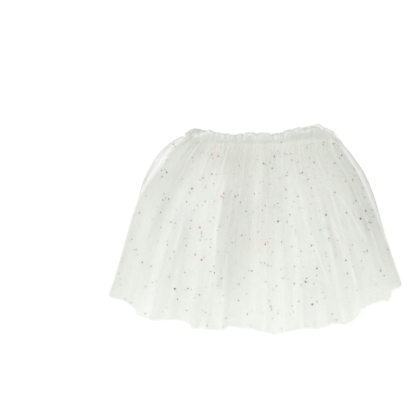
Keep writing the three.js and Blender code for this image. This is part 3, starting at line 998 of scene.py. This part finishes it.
def casing_points(casing, along=560, around=44):
    """Rows along the casing of points round its section, and the share of thread and the painted light and
    shade at each.
    A section is a rounded box, from the sewn edge to the top of its puff. Its face moves out by the
    gathers, uneven waves of 2 to 4 mm along the casing, which slant a little on their way up."""
    x = np.linspace(CASING_LEFT, CASING_RIGHT, along)[:, None]
    angle = np.linspace(0, 2 * np.pi, around, endpoint=False)[None, :]
    t, width, tops = puffs_along(casing["puffs"], x)
    crest, under, face, narrow = section_along(casing, x, width, np.sqrt(np.sin(np.pi * t)), tops)
    out_y, out_z = rounded_box(angle)
    up = 0.5 + 0.5 * out_y * mix(0.8, 1, narrow)
    run, seed = x / CASING_RUN, casing["seed"]
    slant = SLANT * uneven(run, (4, 7, 11), seed) * np.sin(np.pi * up)
    close = uneven(run + slant, (61, 88, 127), seed + 1)
    loose = uneven(run - 2 * slant, (21, 34), seed + 2)
    on_face = np.maximum(out_z, 0)
    depth = (CLOSE_DEPTH * close + LOOSE_DEPTH * loose) * narrow
    y = mix(casing_edge(x), crest, up) + 0.4 * depth * np.maximum(out_y, 0)
    z = mix(under, face, 0.5 + 0.5 * out_z * narrow) + depth * on_face

    t = t + 2.5 * slant * CASING_RUN / width * (1 - up)
    from_dip = np.minimum(np.abs(t), np.abs(1 - t)) * width
    marks = dict(plain=1, close=close, loose=loose, rim=ease((up - 0.8) / 0.2), sewn=1 - ease(up / 0.3))
    marks["dip"] = np.exp(-((from_dip / DIP_WIDE) ** 2)) * ease((up - 0.25) / 0.5)
    marked = lambda much: sum(much[name] * marks[name] for name in much)
    low_wall = (1 - ease(up / 0.12)) * (np.abs(out_z) < 0.97)
    threads = marked(CASING_THREADS) * mix(1, LOW_WALL_THREADS, low_wall)
    threads = threads * mix(LEAST_SEWN, 1, ease(up / 0.6))
    # painted light and shade on the casing, with painted shade along the rim
    light = marked(CASING_LIGHT) + casing["rim_light"] * marks["rim"]
    more, lighter = casing_marks(x, y)
    threads, light = threads + more * on_face, light + lighter * on_face
    points = np.stack([np.broadcast_to(x, y.shape), y, z], axis=-1)
    return points, np.clip(threads, *CASING_THREADS_RANGE), np.clip(light, *CASING_LIGHT_RANGE)


def tube_faces(along, around):
    """Quads of a closed section carried from one end to the other, wound so that they point out."""
    index = np.arange(along * around).reshape(along, around)
    ends = [index[0][::-1].tolist(), index[-1].tolist()]
    index = np.concatenate([index, index[:, :1]], axis=1)
    quads = np.stack([index[:-1, :-1], index[:-1, 1:], index[1:, 1:], index[1:, :-1]], axis=-1)
    return quads.reshape(-1, 4).tolist() + ends


print("a tube of 5 rings of 8 points has", len(tube_faces(5, 8)), "faces, with its two ends")

# %% [markdown]
# The casing's net has a UV map too. Along the casing it counts the gathered cloth, a little over twice
# as long as the casing, and round the section it goes by the section's own girth.

# %% Make the two halves of the casing
# greyer than the skirt's net: the net's own colour with painted shade for bunched net shading itself
CASING_SHADED_COLOUR = (0.8, 0.81, 0.776)
CASING_NET = net_material("casing net", CASING_SHADED_COLOUR, 0.12)
CASING_GATHERING = 2.2
casings = {}
for name, casing in CASINGS.items():
    points, threads, light = casing_points(casing)
    girth = np.linalg.norm(np.diff(points, axis=1), axis=-1).mean(axis=0)
    girth = np.concatenate([[0], np.cumsum(girth)]) * MM
    uv = np.stack(np.meshgrid(CASING_GATHERING * points[:, 0, 0] * MM, girth, indexing="ij"), axis=-1)
    values = {"threads": threads, "light": light}
    band = mesh_from(name + "_net", points, tube_faces(*points.shape[:2]), uv, values)
    band.data.materials.append(CASING_NET)
    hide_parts(name)
    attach(band, "root")
    casings[name] = points
    print(name, points.shape, "threads", threads.min().round(2), "to", threads.max().round(2))

# %% [markdown]
# The glitter is thin round dots bonded to the net. Most are painted dark: a painted reflection of
# something dark beside the bright light, which they mirror. A few flash a colour, their own hue with
# some painted reflection in it. The dots that stand out most have a row of their own, and the others
# are drawn from a mix of colours.

# %% The colours of the dots, and the dots that stand out
# grey and pale are painted reflections of dark things beside the light; the hues are the glitter's own
# colours, with some painted reflection in them
DOT_COLOURS = {
    "grey": (0.17, 0.165, 0.16),
    "pale": (0.42, 0.42, 0.44),
    "purple": (0.16, 0.12, 0.27),
    "blue": (0.22, 0.28, 0.48),
    "teal": (0.12, 0.38, 0.42),
    "red": (0.62, 0.14, 0.10),
    "ochre": (0.60, 0.42, 0.14),
    "yellow": (0.66, 0.62, 0.22),
    "sky": (0.40, 0.55, 0.95),
    "aqua": (0.42, 0.80, 0.88),
    "green": (0.12, 0.42, 0.26),
}
DOT_MIX = {
    "grey": 0.5,
    "pale": 0.17,
    "purple": 0.1,
    "blue": 0.08,
    "teal": 0.05,
    "red": 0.015,
    "ochre": 0.02,
    "aqua": 0.02,
    "green": 0.02,
}


def dots_at(*rows):
    """A table of dots: where each lies seen from above, and how wide it is, in millimetres."""
    return table("x y size", *rows)


NOTED_DOTS = {
    "grey": dots_at(
        (157.6, 16.4, 3.3), (34.3, 11.8, 3.2), (-96.7, 60.5, 2.9), (-141.2, 43.2, 2.0),
        (70.5, 85.3, 2.4), (45.5, 59.3, 2.2), (-142.0, 78.4, 2.1), (-66.6, 83.2, 2.4),
        (-144.2, 24.6, 1.8), (-81.5, -12.1, 1.8), (-84.5, -15.7, 1.8), (-187.5, -15.6, 1.9),
        (-103.1, -90.5, 2.3), (-119.0, -105.9, 2.0), (-45.8, -134.6, 2.0), (24.8, 90.7, 2.2),
        (11.6, 98.6, 2.2), (38.5, 130.8, 2.1), (53.5, 113.5, 1.8), (77.4, 122.8, 2.0),
        (130.2, 111.0, 2.4), (149.7, 91.6, 1.9), (65.0, 48.1, 2.2), (84.4, 61.2, 1.9),
        (33.2, 39.1, 1.9), (138.3, 23.3, 2.2), (172.7, 8.6, 2.2), (164.3, 48.4, 1.9),
        (38.5, -20.0, 2.0), (168.3, -32.8, 2.2), (189.5, -63.6, 2.4), (58.8, -55.7, 2.1),
        (76.9, -74.7, 2.2), (64.6, -109.0, 1.9), (-14.5, 27.2, 2.2), (-20.6, -10.7, 2.0),
    ),
    "purple": dots_at(
        (-122.6, -91.8, 3.2), (92.1, -59.8, 2.6), (28.2, 109.3, 2.4), (86.0, -116.1, 3.0),
        (136.3, -46.1, 2.6), (166.6, 28.5, 2.4), (151.5, 42.6, 2.1), (119.7, 100.0, 2.2),
        (52.2, 21.4, 2.0), (-2.1, 53.7, 1.9), (-128.7, 9.5, 1.9), (-171.9, -50.3, 2.4),
        (-6.1, -64.0, 2.2),
    ),
    "blue": dots_at((84.5, -26.3, 2.9), (58.8, -83.8, 2.4), (-63.4, -56.1, 1.8), (165.2, -35.0, 1.8)),
    "teal": dots_at((105.8, 22.5, 3.2), (-25.1, -110.0, 2.3), (89.1, 100.1, 2.6), (-58.2, -3.3, 1.8)),
    "red": dots_at(
        (-84.5, 2.7, 2.9), (14.5, -24.7, 2.8), (-81.5, -46.1, 3.0), (-124.1, 129.0, 2.3),
        (18.0, -20.8, 1.8), (-107.1, -66.8, 1.8),
    ),
    "ochre": dots_at(
        (-52.5, 49.9, 3.2), (139.4, -68.9, 2.9), (-124.3, -33.3, 2.4), (104.2, -105.1, 1.9),
    ),
    "yellow": dots_at((83.9, 36.2, 2.1), (119.2, -27.5, 2.1)),
    "sky": dots_at((17.5, -55.2, 3.0)),
    "aqua": dots_at((-108.9, 20.9, 2.9), (103.4, 0.6, 2.4), (34.5, -123.6, 2.0)),
    "green": dots_at((-86.0, -100.9, 2.3)),
}
noted = {key: np.concatenate([dots[key] for dots in NOTED_DOTS.values()]) for key in ("x", "y", "size")}
noted["colour"] = np.concatenate([[DOT_COLOURS[key]] * len(dots["x"]) for key, dots in NOTED_DOTS.items()])
print(len(noted["x"]), "dots have a row of their own")

# %% [markdown]
# A dot's place on a panel is told by a row and a column of the panel's grid, which may be fractions. The
# rest of the dots are scattered evenly over the panel.

# %% Places on a panel
STEP_DOWN, STEP_ASIDE = 0.7548777, 0.5698403  # shares of the panel from one dot to the next
DOTS_DOWN, DOTS_ASIDE, DOTS_STRAY = (0.06, 0.965), (0.02, 0.98), 0.02  # the part of it that has dots


def surface_at(points, row, column):
    """Point and normal of a grid at fractional rows and columns, mixed from four points."""
    r, c = np.floor(row).astype(int), np.floor(column).astype(int)
    fr, fc = (row - r)[:, None], (column - c)[:, None]
    p00, p01, p10, p11 = points[r, c], points[r, c + 1], points[r + 1, c], points[r + 1, c + 1]
    place = mix(mix(p00, p01, fc), mix(p10, p11, fc), fr)
    normal = np.cross(mix(p01 - p00, p11 - p10, fr), mix(p00 - p10, p01 - p11, fc))
    return place, normal / np.linalg.norm(normal, axis=-1, keepdims=True)


def scattered(points, count, seed):
    """Even places on a panel: fractional rows and columns. Each next dot moves on by a fixed share of
    the panel both ways, which never bunches up, and then by a small random step."""
    draw = np.random.default_rng(seed)
    rows, columns = points.shape[:2]
    n = np.arange(count) + draw.uniform(0, 1000)
    down = (STEP_DOWN * n + draw.normal(0, DOTS_STRAY, count)) % 1
    aside = (STEP_ASIDE * n + draw.normal(0, DOTS_STRAY, count)) % 1
    return mix(*DOTS_DOWN, down) * (rows - 1), mix(*DOTS_ASIDE, aside) * (columns - 1)


def nearest(points, x, y):
    """Row and column of the grid point that lies closest to each place in the plan."""
    gap = (points[..., 0, None] - x) ** 2 + (points[..., 1, None] - y) ** 2
    found = gap.reshape(-1, len(x)).argmin(axis=0)
    row, column = np.divmod(found, points.shape[1])
    last_row, last_column = points.shape[0] - 2, points.shape[1] - 2
    return np.minimum(row, last_row).astype(float), np.minimum(column, last_column).astype(float)


print("three scattered places, as rows and columns:", np.round(scattered(outer_points, 3, 1), 1).tolist())

# %% [markdown]
# A dot is a flat prism of eight sides, and one mesh holds all the dots of a panel. It bridges the small
# gathers, so it lies much flatter than the net under it, and each is tipped a little its own way. Prisms
# and stitches are both stacks of rings with a lid at each end, so they share one function.

# %% Dots as flat prisms
DOT_SIDES, DOT_THICKNESS = 8, 0.16
DOT_LIFT = 0.21  # mm that a dot's middle lies off the net's
DOT_LEVEL, DOT_TIP = 2.5, 0.06  # how much flatter than the net it lies, and its random tilt


def rod_faces(count, rings, sides):
    """Faces of closed rods, each a stack of rings of points: quads for its walls, and two lids."""
    first = rings * sides * np.arange(count)[:, None, None]
    k = np.arange(sides)
    wall = np.stack([k, (k + 1) % sides, (k + 1) % sides + sides, k + sides], axis=-1)
    walls = first + np.concatenate([wall + sides * ring for ring in range(rings - 1)])
    lids = np.concatenate([first + k[::-1], first + (rings - 1) * sides + k], axis=1)
    return walls.reshape(-1, 4).tolist() + lids.reshape(-1, sides).tolist()


def dot_prisms(centre, normal, size, seed):
    """Two rings of points for each dot, half a thickness below and above its middle. Its axis is the
    panel's normal with several times the upright one and a small random part added."""
    draw = np.random.default_rng(seed)
    level = np.sign(normal[:, 2:]) * np.array([0, 0, 1])
    tipped = normal + DOT_LEVEL * level + draw.normal(0, DOT_TIP, normal.shape)
    tipped /= np.linalg.norm(tipped, axis=-1, keepdims=True)
    side = np.cross(tipped, draw.normal(0, 1, normal.shape))
    side /= np.linalg.norm(side, axis=-1, keepdims=True)
    other = np.cross(tipped, side)
    turn = (np.arange(DOT_SIDES) * (2 * np.pi / DOT_SIDES))[None, :, None]
    ring = np.cos(turn) * side[:, None] + np.sin(turn) * other[:, None]
    ring = ring * (size / 2)[:, None, None] + centre[:, None] + DOT_LIFT * normal[:, None]
    half = DOT_THICKNESS / 2 * tipped[:, None]
    return np.concatenate([ring - half, ring + half], axis=1).reshape(-1, 3)


def glitter_material():
    """Small mirrors, quite smooth. The colour stored on each dot is a painted reflection on the grey and
    pale ones, and on the others their own hue with some painted reflection in it.
    """
    material, shader, start = new_material("glitter", roughness=0.35)
    start.make("ShaderNodeAttribute", {"attribute_name": "tint_and_reflection"}).into(shader, "Base Color")
    return material


GLITTER = glitter_material()
print("a dot has", len(rod_faces(1, 2, DOT_SIDES)), "faces")

# %% [markdown]
# The outer nets and the middle ones carry dots. On the front, scattered dots keep clear of those that
# have a row of their own, which go to the nearest grid point. On a back panel they lie on its underside.

# %% Make the dots
DOTS_ON = dict(outer_tulle_front=70, middle_tulle_front=95, outer_tulle_back=110, middle_tulle_back=80)
CLEAR_OF_NOTED = 9.0  # mm that a scattered dot keeps from those with a row
DOT_LEAST, DOT_SPREAD = 1.5, 0.5
MIX_NAMES = list(DOT_MIX)
MIX_SHARES = np.array(list(DOT_MIX.values()))


def loose_dots(points, count, seed):
    """Row, column, size and colour of scattered dots. Sizes start at 1.5 mm and thin out upwards."""
    draw = np.random.default_rng(seed + 50)
    row, column = scattered(points, count, seed + 60)
    size = DOT_LEAST + DOT_SPREAD * draw.gamma(1.4, 0.5, count)
    drawn = draw.choice(len(MIX_NAMES), count, p=MIX_SHARES / MIX_SHARES.sum())
    return row, column, size, np.array([DOT_COLOURS[MIX_NAMES[i]] for i in drawn])


for name, count in DOTS_ON.items():
    points, seed = grids[name], PANELS[name]["seed"]
    row, column, size, colour = loose_dots(points, count, seed)
    if name == "outer_tulle_front":
        spot, _ = surface_at(points, row, column)
        gap = np.hypot(spot[:, :1] - noted["x"], spot[:, 1:2] - noted["y"]).min(axis=1)
        clear = [values[gap > CLEAR_OF_NOTED] for values in (row, column, size, colour)]
        own = [*nearest(points, noted["x"], noted["y"]), noted["size"], noted["colour"]]
        row, column, size, colour = (np.concatenate(pair) for pair in zip(clear, own))
    centre, normal = surface_at(points, row, column)
    if not PANELS[name]["front"]:
        normal = -normal
    prisms, faces = dot_prisms(centre, normal, size, seed + 70), rod_faces(len(size), 2, DOT_SIDES)
    tints_and_reflections = {"tint_and_reflection": np.repeat(colour, 2 * DOT_SIDES, axis=0)}
    dots = mesh_from(name.replace("tulle", "dots"), prisms, faces, colours=tints_and_reflections)
    dots.data.polygons.foreach_set("use_smooth", np.zeros(len(faces), bool))
    dots.data.materials.append(GLITTER)
    name.split("_")[0] + "_net"
    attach(dots, "root")
    print(dots.name, len(size), "dots")

# %% [markdown]
# One row of stitches holds the nets to the casing, just above its lower edge. A stitch is a short rod
# with six sides that dips into the cloth at both ends, so it lies on the casing's face: its height is
# read from the casing's own points. The thread is spun, so fine bands run across it.

# %% The stitches under the casing
STITCH_LENGTH, STITCH_PITCH, STITCH_RADIUS, STITCH_SIDES = 2.2, 3.3, 0.16, 6
STITCHES_UP = 2.4  # mm above the casing's lower edge
STITCH_DIP, STITCH_TAPER = 0.35, 0.45  # mm that its ends dip, and how thin they are


def stitch_rods(x, y, z):
    """Short tapered rods along the casing, each three rings of points: start, middle and end."""
    along = (np.array([-0.5, 0.0, 0.5]) * STITCH_LENGTH)[None, :, None]
    thick = (np.array([STITCH_TAPER, 1.0, STITCH_TAPER]) * STITCH_RADIUS)[None, :, None]
    drop = np.array([-STITCH_DIP, 0.0, -STITCH_DIP])[None, :, None]
    turn = np.arange(STITCH_SIDES) * (2 * np.pi / STITCH_SIDES)
    slope = np.gradient(y, x)[:, None, None]
    px = x[:, None, None] + along + 0 * turn
    py = y[:, None, None] + slope * along + thick * np.cos(turn)
    pz = z[:, None, None] + drop + thick * np.sin(turn)
    return np.stack([px, py, pz], axis=-1).reshape(-1, 3)


def thread_material():
    """Spun thread: narrow bands over it, in turn a little darker and lighter."""
    material, shader, start = new_material("thread", roughness=0.6, sheen=0.1)
    place = start.make("ShaderNodeTexCoord", {}, {}, 3)
    bands = {"wave_type": "BANDS", "bands_direction": "DIAGONAL"}
    twist = start.make("ShaderNodeTexWave", bands, {"Vector": place, "Scale": 900.0}, 1)
    tones = {0: twist, 6: (0.72, 0.73, 0.70, 1), 7: (0.86, 0.87, 0.83, 1)}
    start.make("ShaderNodeMix", {"data_type": "RGBA"}, tones, 2).into(shader, "Base Color")
    return material


stitch_x = np.arange(CASING_LEFT + 6, CASING_RIGHT - 5, STITCH_PITCH)
stitch_y = casing_edge(stitch_x) + STITCHES_UP
upper_face = casings["waistband_front"][:, 2:21]
row = np.abs(upper_face[:, 0, 0][:, None] - stitch_x).argmin(axis=0)
column = np.abs(upper_face[row, :, 1] - stitch_y[:, None]).argmin(axis=1)
rods = stitch_rods(stitch_x, stitch_y, upper_face[row, column, 2] + 0.5 * STITCH_RADIUS)
stitches = mesh_from("casing_stitches", rods, rod_faces(len(stitch_x), 3, STITCH_SIDES))
stitches.data.materials.append(thread_material())
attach(stitches, "root")
print("stitches", len(stitch_x))

# %% [markdown]
# The floor is a plain white sheet that the light just about whites out, so the skirt seems cut out on
# it. A white sky gives soft light from all round, and one large lamp at the upper left shades the folds.

# %% The floor and the light
FLOOR_SIZE, FLOOR_DOWN, FLOOR_WHITE = 3000.0, 0.2, 0.97
SKY_STRENGTH, LAMP_SIZE, LAMP_WATTS = 1.03, 1.2, 7

floor_points = np.array([[-1, -1, 0], [1, -1, 0], [1, 1, 0], [-1, 1, 0]]) * FLOOR_SIZE
floor = mesh_from("floor", floor_points - [0, 0, FLOOR_DOWN], [[0, 1, 2, 3]])
FLOOR, floor_shader, _ = new_material("floor", roughness=0.9)
floor_shader.inputs["Base Color"].default_value = (FLOOR_WHITE, FLOOR_WHITE, FLOOR_WHITE, 1)
floor.data.materials.append(FLOOR)

scene = bpy.context.scene
world = bpy.data.worlds.new("sky")
world.use_nodes = True
world.node_tree.nodes["Background"].inputs["Color"].default_value = (1, 1, 1, 1)
world.node_tree.nodes["Background"].inputs["Strength"].default_value = SKY_STRENGTH
scene.world = world
lamp_data = bpy.data.lights.new("window", "AREA")
lamp_data.shape = "DISK"
lamp_data.size = LAMP_SIZE
lamp_data.energy = LAMP_WATTS
lamp = bpy.data.objects.new("window", lamp_data)
lamp.location = (-0.9, 0.9, 1.3)
lamp.rotation_euler = (np.radians(42), 0, np.radians(225))
scene.collection.objects.link(lamp)
print("lamp at", [round(x, 2) for x in lamp.location], "with", LAMP_WATTS, "watts")

# %% [markdown]
# The camera looks straight down, as the photo was taken. It stands so far up that the lens takes in the
# right width at the height of the skirt's folds. Light has to pass many layers of holes, so rays may go
# through more of them than Blender lets them at first.

# %% The camera
IMAGE_MM = 633.6  # how much of the scene the picture is wide
LENS, SENSOR = 85.0, 36.0
SKIRT_TOP = 4.0  # mm up, the height at which that width holds
VIEW_X, VIEW_Y = -72.3, 31.6

camera_data = bpy.data.cameras.new("camera")
camera_data.lens = LENS
camera_data.sensor_width = SENSOR
camera = bpy.data.objects.new("camera", camera_data)
camera.location = (VIEW_X * MM, VIEW_Y * MM, (IMAGE_MM * LENS / SENSOR + SKIRT_TOP) * MM)
scene.collection.objects.link(camera)
scene.camera = camera
scene.view_settings.view_transform = "Standard"
scene.cycles.transparent_max_bounces = 48
scene.cycles.max_bounces = 16
scene.cycles.diffuse_bounces = 12
print("camera", round(camera.location.z, 3), "metres up")
